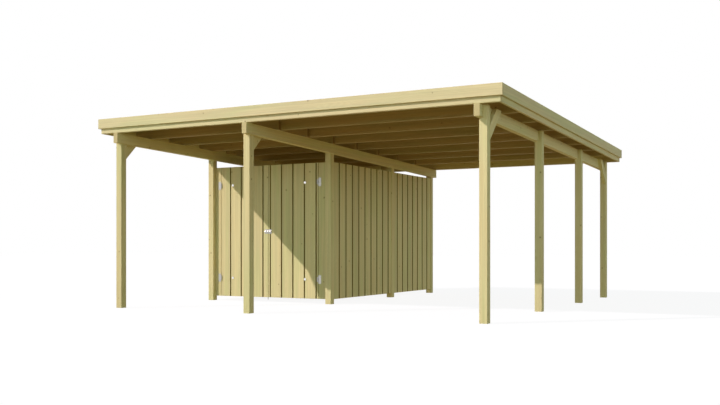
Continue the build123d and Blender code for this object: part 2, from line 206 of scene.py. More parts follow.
def make_pine_group():
    """Pine's figure: its colour, how rough it is and how high it stands."""
    inputs = {
        "Vector": (VECTOR, None),
        "Seed": (FLOAT, 0.0),
        "Wood": (COLOUR, screen_colour(216, 204, 148)),
        "Green Wood": (COLOUR, screen_colour(211, 204, 144)),
        "Straw Wood": (COLOUR, screen_colour(218, 203, 146)),
        "Knot": (COLOUR, screen_colour(112, 86, 46)),
        "Knot Share": (FLOAT, 0.34),
        "Contrast": (FLOAT, 1.0),
    }
    outputs = {"Color": COLOUR, "Roughness": FLOAT, "Height": FLOAT}
    tree, given, result = new_group("pine_figure", inputs, outputs)

    seed_noise = add_node(tree, "ShaderNodeTexWhiteNoise", {"W": given["Seed"]}, noise_dimensions="1D")
    shift = vector_sums(tree, "MULTIPLY", seed_noise.outputs["Color"], SEED_SHIFT)
    place = vector_sums(tree, "ADD", given["Vector"], shift)

    def noise(stretch, detail, distortion=0.0):
        stretched = vector_sums(tree, "MULTIPLY", place, stretch)
        settings = {"Vector": stretched, "Detail": detail, "Roughness": 0.55, "Distortion": distortion}
        return add_node(tree, "ShaderNodeTexNoise", {"Scale": 1.0, **settings}).outputs["Fac"]

    drift = noise(DRIFT_STRETCH, 2.0)
    streak = noise(STREAK_STRETCH, 3.0, 0.4)
    pores = noise(PORE_STRETCH, 2.0)
    bend = noise(BEND_STRETCH, 1.0)
    parts = add_node(tree, "ShaderNodeSeparateXYZ", {"Vector": place}).outputs
    across = sums(tree, "ADD", parts["X"], parts["Y"])
    ring_place = sums(tree, "MULTIPLY_ADD", bend, RING_BEND, across)
    rings = sums(tree, "SINE", sums(tree, "MULTIPLY", ring_place, 2 * math.pi / RING_SPACING))

    flat_place = add_node(tree, "ShaderNodeCombineXYZ", {"X": across, "Y": parts["Z"]}).outputs[0]
    cell_place = vector_sums(tree, "MULTIPLY", flat_place, KNOT_CELLS)
    cells = add_node(
        tree, "ShaderNodeTexVoronoi", {"Vector": cell_place, "Scale": 1.0}, voronoi_dimensions="2D"
    ).outputs
    from_centre = vector_sums(tree, "SUBTRACT", cell_place, cells["Position"])
    away = vector_sums(tree, "DIVIDE", from_centre, KNOT_CELLS)
    distance = add_node(tree, "ShaderNodeVectorMath", {0: away}, operation="LENGTH").outputs["Value"]
    wobble = add_node(tree, "ShaderNodeTexNoise", {"Vector": flat_place, "Scale": 140.0, "Detail": 1.0})
    distance = sums(tree, "MULTIPLY_ADD", wobble.outputs["Fac"], KNOT_WOBBLE, distance)
    chance = add_node(tree, "ShaderNodeSeparateColor", {"Color": cells["Color"]}).outputs
    present = sums(tree, "LESS_THAN", chance["Red"], given["Knot Share"])
    radius = sums(tree, "MULTIPLY_ADD", chance["Green"], KNOT_SPREAD, KNOT_RADIUS)
    relative = sums(tree, "DIVIDE", distance, radius)
    core = sums(tree, "MULTIPLY", ramp(tree, relative, *KNOT_CORE, 1.0, 0.0), present)
    halo = sums(tree, "MULTIPLY", ramp(tree, relative, *KNOT_HALO, 1.0, 0.0), present)

    tinted = mix_colours(tree, ramp(tree, drift, 0.34, 0.5, 1.0, 0.0), given["Wood"], given["Green Wood"])
    tinted = mix_colours(tree, ramp(tree, drift, 0.5, 0.66), tinted, given["Straw Wood"])
    streaked = near_one(tree, ramp(tree, streak, 0.3, 0.7), STREAK_TONE)
    ringed = sums(tree, "MULTIPLY_ADD", rings, RING_TONE, 1.0)
    large = sums(tree, "MULTIPLY", streaked, ringed)
    pored = near_one(tree, pores, PORE_TONE)
    small = sums(tree, "MULTIPLY", pored, near_one(tree, seed_noise.outputs["Value"], BOARD_TONE))
    tone = sums(tree, "POWER", sums(tree, "MULTIPLY", large, small), given["Contrast"])
    coloured = scaled_colour(tree, tinted, tone)
    haloed = mix_colours(tree, sums(tree, "MULTIPLY", halo, 0.22), coloured, given["Knot"])
    knotted = mix_colours(tree, sums(tree, "MULTIPLY", core, 0.85), haloed, given["Knot"])
    tree.links.new(knotted, result["Color"])

    rough = sums(tree, "MULTIPLY_ADD", streak, 0.18, 0.62)
    tree.links.new(sums(tree, "MULTIPLY_ADD", core, -0.15, rough), result["Roughness"])
    height = sums(tree, "MULTIPLY_ADD", rings, 0.25, sums(tree, "MULTIPLY", pores, 0.8))
    tree.links.new(sums(tree, "MULTIPLY_ADD", core, 0.5, height), result["Height"])
    return tree


PINE = make_pine_group()
print("pine group has", len(PINE.nodes), "nodes")

# %% [markdown]
# ## Which piece is this?
# Posts, rafters and fascias come from the frame as whole nodes, and every object sits at the origin, so
# a shader can't ask which post it is on. But it can ask where it is: the second group cuts space into
# cells, one to a timber, and gives each cell a number. Boards modelled further down carry their own
# number as an attribute instead.


# %% The group that numbers the timbers
NUMBER_RANGE = 97.0


def make_timber_number_group():
    """A seed for each cell of space."""
    inputs = {"Vector": (VECTOR, None), "Cell": (VECTOR, None), "Cell Corner": (VECTOR, None)}
    tree, given, result = new_group("timber_number", inputs, {"Seed": FLOAT})
    moved = vector_sums(tree, "SUBTRACT", given["Vector"], given["Cell Corner"])
    cell = vector_sums(tree, "FLOOR", vector_sums(tree, "DIVIDE", moved, given["Cell"]))
    noise = add_node(tree, "ShaderNodeTexWhiteNoise", {"Vector": cell}, noise_dimensions="3D")
    tree.links.new(sums(tree, "MULTIPLY", noise.outputs["Value"], NUMBER_RANGE), result["Seed"])
    return tree


TIMBER_NUMBER = make_timber_number_group()
print("timber number group has", len(TIMBER_NUMBER.nodes), "nodes")

# %% [markdown]
# ## End grain
# Where a timber is cut across, the rings show as arcs and the wood drinks in more light. The group
# looks at how squarely a face meets the grain: Texture Coordinate's Normal is in the object's own
# space, so it holds in every view.


# %% The end grain group
CUT_ACROSS = (0.8, 0.95)
PITH = (0.031, -0.052, 0.0)
END_RING_WARP = 0.02
END_RING_TONE = 0.07


def make_end_grain_group():
    """Rings where a face is cut across the grain, and the given colour elsewhere."""
    inputs = {
        "Vector": (VECTOR, None),
        "Normal": (VECTOR, None),
        "Color": (COLOUR, None),
        "End Wood": (COLOUR, screen_colour(206, 190, 134)),
        "Ring Width": (FLOAT, 0.006),
    }
    tree, given, result = new_group("end_grain", inputs, {"Color": COLOUR})
    facing = add_node(tree, "ShaderNodeSeparateXYZ", {"Vector": given["Normal"]}).outputs["Z"]
    cut = ramp(tree, sums(tree, "ABSOLUTE", facing), *CUT_ACROSS)
    flat = vector_sums(tree, "MULTIPLY", given["Vector"], (1.0, 1.0, 0.0))
    from_pith = vector_sums(tree, "ADD", flat, PITH)
    warp = add_node(tree, "ShaderNodeTexNoise", {"Vector": flat, "Scale": 14.0}).outputs["Fac"]
    radius = add_node(tree, "ShaderNodeVectorMath", {0: from_pith}, operation="LENGTH").outputs["Value"]
    bent = sums(tree, "MULTIPLY_ADD", warp, END_RING_WARP, radius)
    turns = sums(tree, "DIVIDE", sums(tree, "MULTIPLY", bent, 2 * math.pi), given["Ring Width"])
    rings = sums(tree, "MULTIPLY_ADD", sums(tree, "SINE", turns), END_RING_TONE, 1.0 - END_RING_TONE)
    end_colour = scaled_colour(tree, given["End Wood"], rings)
    tree.links.new(mix_colours(tree, cut, given["Color"], end_colour), result["Color"])
    return tree


END_GRAIN = make_end_grain_group()
print("end grain group has", len(END_GRAIN.nodes), "nodes")

# %% [markdown]
# ## One function for every timber material
# A timber's material needs to know which way its grain runs and how its pieces are numbered. The
# Mapping node turns the coordinates so that the grain lies along Z before they reach the groups. Four
# sets of colours do for the whole carport: planed pine is the group's own, sawn timber under the roof is
# browner, partly its own colour and partly painted shade of the roof, the fascias are a little darker and
# greyer, and the joints between boards are painted shade, dark like the shadow deep in a groove.


# %% Timber materials
RELIEF_DEPTH = 0.0006
TIMBER_SHINE = 0.25


def place_group(tree, group, inputs):
    """A node that holds a group, with its inputs filled."""
    holder = tree.nodes.new("ShaderNodeGroup")
    holder.node_tree = group
    fill_sockets(tree, holder, inputs)
    return holder.outputs


def timber_material(name, turn, cell=None, corner=(0.0, 0.0, 0.0), pine=None, end_wood=None):
    """Pine whose grain is turned to lie along Z; without a cell it reads the boards' own numbers."""
    material = bpy.data.materials.new(name)
    material.use_nodes = True
    tree = material.node_tree
    shader = tree.nodes["Principled BSDF"]
    coordinates = add_node(tree, "ShaderNodeTexCoord").outputs
    turned = {}
    for source in ("Object", "Normal"):
        mapping = add_node(tree, "ShaderNodeMapping", {"Vector": coordinates[source], "Rotation": turn})
        turned[source] = mapping.outputs["Vector"]
    if cell:
        numbers = {"Vector": coordinates["Object"], "Cell": cell, "Cell Corner": corner}
        seed = place_group(tree, TIMBER_NUMBER, numbers)["Seed"]
    else:
        seed = add_node(tree, "ShaderNodeAttribute", attribute_name="board_number").outputs["Fac"]
    figure = place_group(tree, PINE, {"Vector": turned["Object"], "Seed": seed, **(pine or {})})
    ends = {"Vector": turned["Object"], "Normal": turned["Normal"], "Color": figure["Color"]}
    if end_wood:
        ends["End Wood"] = end_wood
    tree.links.new(place_group(tree, END_GRAIN, ends)["Color"], shader.inputs["Base Color"])
    tree.links.new(figure["Roughness"], shader.inputs["Roughness"])
    relief = add_node(tree, "ShaderNodeBump", {"Height": figure["Height"], "Distance": RELIEF_DEPTH})
    tree.links.new(relief.outputs["Normal"], shader.inputs["Normal"])
    shader.inputs["Specular IOR Level"].default_value = TIMBER_SHINE
    return material


# %% Colours of the timber
QUARTER = math.radians(90)
EIGHTH = math.radians(45)
GRAIN_ALONG_X = (0.0, -QUARTER, 0.0)
GRAIN_ALONG_Y = (QUARTER, 0.0, 0.0)
GRAIN_ALONG_Z = (0.0, 0.0, 0.0)
LONG = 100.0
# Sawn timber under the roof: a browner wood, partly its own colour and partly painted shade of the roof over
# it.
SAWN_WITH_ROOF_SHADE = {
    "Wood": screen_colour(177, 158, 109),
    "Green Wood": screen_colour(169, 155, 104),
    "Straw Wood": screen_colour(181, 158, 109),
    "Contrast": 1.3,
}
SAWN_END = screen_colour(150, 124, 72)
# The fascias' pine is a little darker and greyer than the planed pine.
DARKER_FASCIA = {
    "Wood": screen_colour(212, 200, 150),
    "Green Wood": screen_colour(207, 200, 147),
    "Straw Wood": screen_colour(214, 199, 150),
}
# Painted shade: the joints' tongues and the boards' edges get this dark colour, which stands for the shadow
# deep in a groove.
GROOVE_SHADE = {
    "Wood": screen_colour(142, 125, 63),
    "Green Wood": screen_colour(136, 123, 61),
    "Straw Wood": screen_colour(146, 125, 64),
    "Contrast": 1.3,
}

# %% Materials of the frame's timbers
post_pine = timber_material("post_pine", GRAIN_ALONG_Z, cell=(1.0, 1.0, LONG))
beam_pine = timber_material("beam_pine", GRAIN_ALONG_Y, cell=(1.0, LONG, LONG), corner=(0.0, -LONG / 2, 0.0))
fascia_pine = timber_material(
    "fascia_pine", GRAIN_ALONG_X, (LONG, 1.0, LONG), (-LONG / 2, 0.0, 0.0), DARKER_FASCIA
)
side_fascia_pine = timber_material(
    "side_fascia_pine", GRAIN_ALONG_Y, (1.0, LONG, LONG), (0.0, -LONG / 2, 0.0), DARKER_FASCIA
)
brace_pine = timber_material("brace_pine", (EIGHTH, 0.0, 0.0), cell=(1.0, 1.0, LONG))
rear_brace_pine = timber_material("rear_brace_pine", (-EIGHTH, 0.0, 0.0), cell=(1.0, 1.0, LONG))

# %% [markdown]
# The rafters of one bay are a single node, so their cells are as wide as the spacing between two
# rafters. The two bays get cells of their own, or a rafter would change where they lap.

# %% Rafter materials
RAFTER_PITCH = 0.671
RAFTER_CELL = (LONG, RAFTER_PITCH, LONG)
rafter_cells_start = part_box("rafters_right_bay")[0][1] - RAFTER_PITCH / 2
left_rafter_pine, right_rafter_pine = (
    timber_material(name, GRAIN_ALONG_X, RAFTER_CELL, (-LONG / 2, rafter_cells_start, level), SAWN_WITH_ROOF_SHADE, SAWN_END)
    for name, level in (("left_rafter_pine", -LONG), ("right_rafter_pine", 0.0))
)
print("the first rafter's cell starts at", round(rafter_cells_start, 3))

# %% [markdown]
# Planks that are modelled one by one come in three slots, for the three ways that they can lie.

# %% Plank materials
GRAINS = {"x": GRAIN_ALONG_X, "y": GRAIN_ALONG_Y, "z": GRAIN_ALONG_Z}
board_pines = [timber_material(f"board_pine_{axis}", turn) for axis, turn in GRAINS.items()]
# The roof boards take the sawn colours, with the painted shade of the roof in them.
sawn_shaded_pines = [
    timber_material(f"sawn_pine_{axis}", turn, pine=SAWN_WITH_ROOF_SHADE, end_wood=SAWN_END) for axis, turn in GRAINS.items()
]
# The joints' material is painted shade of the groove.
groove_shade_pine = timber_material("groove_shade_pine", GRAIN_ALONG_Z, pine=GROOVE_SHADE, end_wood=SAWN_END)
print("timber materials:", len([m for m in bpy.data.materials if "pine" in m.name]))

# %% [markdown]
# ## Steel, screws and felt
# The fittings are galvanised: a pale metal with a soft, slightly cloudy shine. The screws have the golden
# zinc plating that timber screws usually have. The roof's covering is a felt with mineral granules
# pressed into it.


# %% Metals
CRYSTALS_PER_METRE = 160.0
CLOUDS_PER_METRE = 35.0
PLATING_RELIEF = 0.0002


def metal_material(name, colour, roughness, cloudiness):
    """Plated steel: a cloudy shine over the faint crystals of the plating."""
    material = bpy.data.materials.new(name)
    material.use_nodes = True
    tree = material.node_tree
    shader = tree.nodes["Principled BSDF"]
    place = add_node(tree, "ShaderNodeTexCoord").outputs["Object"]
    crystals = add_node(tree, "ShaderNodeTexVoronoi", {"Vector": place, "Scale": CRYSTALS_PER_METRE})
    crystal = add_node(tree, "ShaderNodeSeparateColor", {"Color": crystals.outputs["Color"]}).outputs["Red"]
    clouds = {"Vector": place, "Scale": CLOUDS_PER_METRE, "Detail": 3.0}
    cloud = add_node(tree, "ShaderNodeTexNoise", clouds).outputs["Fac"]
    shade = sums(tree, "MULTIPLY_ADD", crystal, 0.08, 0.94)
    tree.links.new(scaled_colour(tree, colour, shade), shader.inputs["Base Color"])
    tree.links.new(sums(tree, "MULTIPLY_ADD", cloud, cloudiness, roughness), shader.inputs["Roughness"])
    shader.inputs["Metallic"].default_value = 1.0
    relief = add_node(tree, "ShaderNodeBump", {"Height": cloud, "Distance": PLATING_RELIEF})
    tree.links.new(relief.outputs["Normal"], shader.inputs["Normal"])
    return material


zinc_steel = metal_material("zinc_steel", screen_colour(190, 189, 182), roughness=0.26, cloudiness=0.2)
bright_zinc = metal_material("bright_zinc", screen_colour(244, 243, 240), roughness=0.08, cloudiness=0.06)
screw_zinc = metal_material("screw_zinc", screen_colour(214, 188, 122), roughness=0.25, cloudiness=0.1)
print("three metals are ready")

# %% Felt
GRANULES_PER_METRE = 420.0
PATCHES_PER_METRE = 2.3
GRANULE_RELIEF = 0.0015
FELT_ROUGHNESS = 0.92


def felt_material():
    """Bitumen felt with dark and pale granules, washed a little uneven by rain."""
    material = bpy.data.materials.new("roof_felt")
    material.use_nodes = True
    tree = material.node_tree
    shader = tree.nodes["Principled BSDF"]
    place = add_node(tree, "ShaderNodeTexCoord").outputs["Object"]
    granules = add_node(tree, "ShaderNodeTexVoronoi", {"Vector": place, "Scale": GRANULES_PER_METRE}).outputs
    washed = {"Vector": place, "Scale": PATCHES_PER_METRE, "Detail": 4.0}
    patches = add_node(tree, "ShaderNodeTexNoise", washed).outputs["Fac"]
    speck = add_node(tree, "ShaderNodeSeparateColor", {"Color": granules["Color"]}).outputs["Red"]
    grains = mix_colours(tree, speck, screen_colour(62, 68, 66), screen_colour(112, 120, 114))
    shade = sums(tree, "MULTIPLY_ADD", patches, 0.5, 0.7)
    tree.links.new(scaled_colour(tree, grains, shade), shader.inputs["Base Color"])
    shader.inputs["Roughness"].default_value = FELT_ROUGHNESS
    relief = add_node(tree, "ShaderNodeBump", {"Height": granules["Distance"], "Distance": GRANULE_RELIEF})
    tree.links.new(relief.outputs["Normal"], shader.inputs["Normal"])
    return material


roof_felt = felt_material()
print("materials:", len(bpy.data.materials))

# %% [markdown]
# ## Dressing the frame
# The posts, beams, braces, rafters and fascias already have their true shapes and their eased edges, so
# they only need a finish. The first word of a node's name says which. Boards, rails and felt are dressed
# too, and then replaced further down by pieces made one by one.

# %% Dress the frame
FINISHES = {
    "post": post_pine,
    "beam": beam_pine,
    "knee": brace_pine,
    "rim": fascia_pine,
    "fascia": fascia_pine,
    "roof": roof_felt,
    "wall": board_pines[2],
    "door": board_pines[2],
    "jamb": zinc_steel,
    "drop": zinc_steel,
}
SPECIAL_FINISHES = {
    "rafters_left_bay": left_rafter_pine,
    "rafters_right_bay": right_rafter_pine,
    "rim_left": side_fascia_pine,
    "rim_right": side_fascia_pine,
    "fascia_left": side_fascia_pine,
    "fascia_right": side_fascia_pine,
    "knee_brace_rear_right": rear_brace_pine,
    "door_left_hinges_and_latch": zinc_steel,
    "door_right_hinges_and_latch": zinc_steel,
}


def dress(piece, material):
    """Give a piece one material."""
    piece.data.materials.clear()
    piece.data.materials.append(material)


for name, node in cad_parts.items():
    finish = SPECIAL_FINISHES.get(name) or FINISHES[name.split("_")[0]]
    dress(node, finish)
print("dressed", len(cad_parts), "nodes")

# %% [markdown]
# ## A plank
# Every board on the store is a plank: a flat outline stood up to its thickness, with its long edges
# eased by a plane. An extrusion does the first and a bevel the second. A face attribute carries the
# plank's number, which the material turns into a grain of its own, and the material slot follows the
# way the plank is longest: slot 0 runs along X, slot 1 along Y and slot 2 along Z.


# %% Planks
PLANK_EASE = 0.0025
EASED_FROM = 0.05
ALONG_X, ALONG_Y, UP = Vector((1, 0, 0)), Vector((0, 1, 0)), Vector((0, 0, 1))


def corners_of_box(points):
    """The lowest and the highest corner of the box around some points."""
    low = Vector([min(point[axis] for point in points) for axis in range(3)])
    high = Vector([max(point[axis] for point in points) for axis in range(3)])
    return low, high


def longest_axis(points):
    """0, 1 or 2 for the axis along which the points reach furthest."""
    low, high = corners_of_box(points)
    return max(range(3), key=lambda axis: high[axis] - low[axis])


def ease_edges(bm, edges, offset, segments):
    """Round some edges."""
    bmesh.ops.bevel(
        bm,
        geom=list(edges),
        offset=offset,
        offset_type="OFFSET",
        segments=segments,
        profile=0.5,
        affect="EDGES",
        material=-1,
    )


def add_plank(bm, outline, depth, slot=None, ease=PLANK_EASE):
    """Stand an outline up by the vector depth, ease its long edges, number it and choose its slot."""
    numbers = bm.faces.layers.float["board_number"]
    corners = [bm.verts.new(point) for point in outline]
    face = bm.faces.new(corners)
    raised = bmesh.ops.extrude_face_region(bm, geom=[face])["geom"]
    moved = [item for item in raised if isinstance(item, bmesh.types.BMVert)]
    bmesh.ops.translate(bm, vec=depth, verts=moved)
    edges = {edge for vert in corners + moved for edge in vert.link_edges if edge.calc_length() > EASED_FROM}
    ease_edges(bm, edges, ease, segments=2)
    number = max((made[numbers] for made in bm.faces), default=0.0) + 1.0
    slot = longest_axis([*outline, Vector(outline[0]) + Vector(depth)]) if slot is None else slot
    for made in bm.faces:
        if made[numbers] == 0.0:
            made[numbers] = number
            made.material_index = slot
    return number


def add_box_plank(bm, low, high, **settings):
    """A plank that fills a box: its outline spans the two longer sides and its depth is the shortest."""
    low, high = Vector(low), Vector(high)
    size = high - low
    thin = min(range(3), key=lambda axis: size[axis])
    first, second = (axis for axis in range(3) if axis != thin)
    outline = []
    for first_end, second_end in ((0, 0), (1, 0), (1, 1), (0, 1)):
        corner = low.copy()
        corner[first] += first_end * size[first]
        corner[second] += second_end * size[second]
        outline.append(corner)
    depth = Vector()
    depth[thin] = size[thin]
    return add_plank(bm, outline, depth, **settings)


def new_timber_mesh():
    """An empty bmesh whose faces can be numbered."""
    bm = bmesh.new()
    bm.faces.layers.float.new("board_number")
    return bm


def finish_piece(bm, name, body, materials, replaced=()):
    """Turn a bmesh into an object that rides on a body and stands for the nodes it replaces."""
    bmesh.ops.recalc_face_normals(bm, faces=bm.faces)
    mesh = bpy.data.meshes.new(name)
    bm.to_mesh(mesh)
    bm.free()
    piece = bpy.data.objects.new(name, mesh)
    bpy.context.scene.collection.objects.link(piece)
    for material in materials:
        mesh.materials.append(material)
    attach(piece, body)
    if replaced:
        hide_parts(*replaced)
    print(name, len(mesh.polygons), "faces")
    return piece


# %% [markdown]
# ## The boarded walls
# Each wall is a row of upright boards with a wide shadow joint between them. The board's rebate leaves
# a thin tongue at the back of the joint, so no light comes through. Tongue and edges carry painted
# shade: a darker colour than the faces, which stands for the shadow deep in the joint. The joints are
# counted from one end of a panel, as the joiner set them out, and each board stands a hair in or out of
# line.

# %% Walls
BOARD_THICKNESS = 0.028
BOARD_PITCH = 0.192
WALL_JOINT = 0.032
DOOR_JOINT = 0.020
TONGUE = 0.008
TONGUE_EASE = 0.0005
# The slot of the painted groove shade.
GROOVE_SHADE_SLOT = 3
SQUARE_ON = 0.95
BOARDING = [*board_pines, groove_shade_pine]
OUT_OF_LINE = 0.0008


def board_spans(length, first_joint, joint_width):
    """The joints of a panel, and where its boards start and end, measured from one end."""
    joints = []
    joint = first_joint
    while joint < length - joint_width:
        joints.append(joint)
        joint += BOARD_PITCH
    starts = [0.0] + [joint + joint_width / 2 for joint in joints]
    ends = [joint - joint_width / 2 for joint in joints] + [length]
    return joints, list(zip(starts, ends))


def panel_corner(box, along, outward):
    """The foot of a panel's outer face, at the end that the joints are counted from."""
    low, high = box
    corner = Vector(low)
    for axis in (0, 1):
        if outward[axis] > 0 or along[axis] < 0:
            corner[axis] = high[axis]
    return corner


def rectangle(start, along, up_by, length_from, length_to):
    """Four corners of an upright rectangle on the line that runs from start."""
    foot_from = start + along * length_from
    foot_to = start + along * length_to
    return [foot_from, foot_to, foot_to + up_by, foot_from + up_by]


def paint_groove_shade(bm, number, along):
    """Paint the groove's shade on the two edges of one board: they get the dark joint colour."""
    numbers = bm.faces.layers.float["board_number"]
    for face in bm.faces:
        if face[numbers] == number:
            face.normal_update()
            if abs(face.normal.dot(along)) > SQUARE_ON:
                face.material_index = GROOVE_SHADE_SLOT


def add_boards(bm, box, along, outward, first_joint, joint_width, chance, first_outline=None):
    """Boards and tongues of one panel, and the boards' spans; first_outline may shape the first board."""
    start = panel_corner(box, along, outward)
    height = UP * (box[1][2] - box[0][2])
    length = abs((Vector(box[1]) - Vector(box[0])).dot(along))
    joints, spans = board_spans(length, first_joint, joint_width)
    for place, (span_from, span_to) in enumerate(spans):
        set_back = -outward * chance.uniform(0.0, OUT_OF_LINE)
        outline = rectangle(start, along, height, span_from, span_to)
        if place == 0 and first_outline:
            outline = first_outline(start, along, height, span_to)
        outline = [point + set_back for point in outline]
        number = add_plank(bm, outline, -outward * BOARD_THICKNESS - set_back)
        paint_groove_shade(bm, number, along)
    # The tongues at the back of the joints carry the painted groove shade too.
    for joint in joints:
        behind = start - outward * (BOARD_THICKNESS - TONGUE)
        outline = rectangle(behind, along, height, joint - joint_width / 2, joint + joint_width / 2)
        add_plank(bm, outline, -outward * TONGUE, slot=GROOVE_SHADE_SLOT, ease=TONGUE_EASE)
    return spans


# %% [markdown]
# Six panels stand between the posts. Each is given by the way its joints are counted, the way its face
# looks, and the place of its first joint, which the picture shows on the right side. The random draws
# that set the boards in and out of line start from a fixed seed, so every run gives the same walls.

# %% Make the walls
FRONT_PANEL_JOINT = 0.166
REAR_PANEL_JOINT = 0.134
PANELS = {
    "wall_right_front": (ALONG_Y, ALONG_X, FRONT_PANEL_JOINT),
    "wall_right_rear": (ALONG_Y, ALONG_X, REAR_PANEL_JOINT),
    "wall_left_front": (-ALONG_Y, -ALONG_X, FRONT_PANEL_JOINT),
    "wall_left_rear": (-ALONG_Y, -ALONG_X, REAR_PANEL_JOINT),
    "wall_back_left": (-ALONG_X, ALONG_Y, FRONT_PANEL_JOINT),
    "wall_back_right": (-ALONG_X, ALONG_Y, FRONT_PANEL_JOINT),
}
chance = random.Random(7)
board_places = {}
for name, (along, outward, first_joint) in PANELS.items():
    bm = new_timber_mesh()
    board_places[name] = add_boards(bm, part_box(name), along, outward, first_joint, WALL_JOINT, chance)
    finish_piece(bm, name.replace("wall", "boards"), CARPORT, BOARDING, replaced=[name])

# %% [markdown]
# ## The door leaves
# A leaf is boarded like the walls, with narrower joints. Its boards are laid out from the hinge side,
# because the first of them is notched there: the knuckle of each hinge is part of a strap on the inside,
# and the strap's crank has to pass the leaf's edge. Two ledges carry the boards, and a strut stands on
# the hinge side and keeps the free corner from sagging.

# %% Make the leaves
HINGE_HEIGHTS = (0.270, 1.630)
NOTCH_HEIGHT = 0.035
NOTCH_DEPTH = 0.004
LEFT_LEAF_JOINT = 0.168
RIGHT_LEAF_JOINT = 0.035
LEAVES = {
    "left": (LEFT_DOOR, ALONG_X, LEFT_LEAF_JOINT),
    "right": (RIGHT_DOOR, -ALONG_X, RIGHT_LEAF_JOINT),
}


def notched_board(start, along, height, span_to):
    """The hinge-side board's outline: up its plain edge, then down the hinge edge past two notches."""
    outline = [start, start + along * span_to, start + along * span_to + height, start + height]
    for level in reversed(HINGE_HEIGHTS):
        above, below = level + NOTCH_HEIGHT / 2, level - NOTCH_HEIGHT / 2
        for depth, rise in ((0, above), (NOTCH_DEPTH, above), (NOTCH_DEPTH, below), (0, below)):
            outline.append(start + along * depth + UP * rise)
    return outline


for side, (body, along, first_joint) in LEAVES.items():
    node = f"door_{side}_boards"
    bm = new_timber_mesh()
    board_places[node] = add_boards(
        bm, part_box(node), along, -ALONG_Y, first_joint, DOOR_JOINT, chance, first_outline=notched_board
    )
    finish_piece(bm, f"leaf_{side}", body, BOARDING, replaced=[node])

# %% [markdown]
# The strut is cut to a slant at both ends, so its outline is a parallelogram. Its grain runs along the
# slant, which asks for a material of its own, turned by the strut's angle.

# %% Make the ledges and struts
LEDGE_HEIGHT = 0.100
STRUT_WIDTH = 0.090

for side, (body, along, first_joint) in LEAVES.items():
    node = f"door_{side}_ledges"
    low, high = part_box(node)
    hinge_end, free_end = (low.x, high.x) if along.x > 0 else (high.x, low.x)
    foot, head = low.z + LEDGE_HEIGHT, high.z - LEDGE_HEIGHT
    bm = new_timber_mesh()
    for level in (low.z, head):
        ledge_low, ledge_high = low.copy(), high.copy()
        ledge_low.z, ledge_high.z = level, level + LEDGE_HEIGHT
        add_box_plank(bm, ledge_low, ledge_high, slot=0)
    strut_corners = [
        (hinge_end, foot),
        (hinge_end + along.x * STRUT_WIDTH, foot),
        (free_end, head),
        (free_end - along.x * STRUT_WIDTH, head),
    ]
    outline = [Vector((x, low.y, z)) for x, z in strut_corners]
    add_plank(bm, outline, ALONG_Y * (high.y - low.y), slot=1)
    slant = math.atan2(strut_corners[2][0] - strut_corners[1][0], head - foot)
    strut_pine = timber_material(f"strut_pine_{side}", (0.0, -slant, 0.0))
    finish_piece(bm, f"ledges_{side}", body, [board_pines[0], strut_pine], replaced=[node])

# %% [markdown]
# ## Jambs, studs and rails
# These are plain timbers, several to a node. A node's mesh is loose triangles, so a copy is merged, and
# the boxes that each connected group of corners fills are made again as planks with eased edges.


# %% Make the plain timbers
def solid_boxes(node_name):
    """The boxes of the separate solids in a node."""
    copy = bmesh.new()
    copy.from_mesh(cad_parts[node_name].data)
    bmesh.ops.remove_doubles(copy, verts=copy.verts, dist=1e-6)
    waiting = set(copy.verts)
    boxes = []
    while waiting:
        group = [waiting.pop()]
        for vert in group:
            near = {edge.other_vert(vert) for edge in vert.link_edges} & waiting
            waiting -= near
            group.extend(near)
        boxes.append(corners_of_box([vert.co for vert in group]))
    copy.free()
    return sorted(boxes, key=lambda box: tuple(box[0]))


PLAIN_TIMBERS = {
    "door_jamb_left": ("jamb_left", "board_pine"),
    "door_jamb_right": ("jamb_right", "board_pine"),
    "door_studs": ("studs", "rail_pine"),
    "wall_rails": ("rails", "rail_pine"),
}
for node, (name, slot) in PLAIN_TIMBERS.items():
    bm = new_timber_mesh()
    for low, high in solid_boxes(node):
        add_box_plank(bm, low, high)
    finish_piece(bm, name, CARPORT, board_pines, replaced=[node])

# %% [markdown]
# ## The roof boarding
# Narrow boards lie across the rafters, from the front of the roof to the back. They are laid level and
# then sheared down to the back, because that keeps every upright face upright: a shear is a matrix
# that lowers a point by the slope times its distance to the back.

# %% Make the roof boarding
DECK_THICKNESS = 0.019
ROOF_BOARDS = 45
BOARD_SHADOW = 0.0015
DECK_EASE = 0.004
deck_low, deck_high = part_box("roof_boarding")
SLOPE = (deck_high.z - deck_low.z - DECK_THICKNESS) / (deck_high.y - deck_low.y)
FALL = Matrix.Identity(4)
FALL[2][1] = -SLOPE
deck_top = (deck_high.z + deck_low.z + DECK_THICKNESS) / 2
board_width = (deck_high.x - deck_low.x) / ROOF_BOARDS

bm = new_timber_mesh()
for place in range(ROOF_BOARDS):
    x_from = deck_low.x + place * board_width + BOARD_SHADOW / 2
    low = (x_from, deck_low.y, deck_top - DECK_THICKNESS)
    high = (x_from + board_width - BOARD_SHADOW, deck_high.y, deck_top)
    add_box_plank(bm, low, high, slot=1, ease=DECK_EASE)
bmesh.ops.transform(bm, matrix=FALL, verts=bm.verts)
finish_piece(bm, "roof_boards", CARPORT, sawn_shaded_pines, replaced=["roof_boarding"])
print("the roof falls", round(SLOPE * 1000, 1), "mm a metre")

# %% [markdown]
# ## The felt
# Felt is laid in strips across the fall, from the back up, so each strip laps over the one below it and
# rain runs off the laps. Its section steps up where it rides over its neighbour. Along the four edges
# a narrower strip is dressed up the inside of the fascia.

# %% Make the felt
FELT = 0.0025
STRIP_WIDTH = 1.0
LAP = 0.1
STEP = 0.012
UPTURN = 0.030
UPTURN_FOOT = 0.12
UPTURN_CORNER = 0.012
FELT_EASE = 0.0006


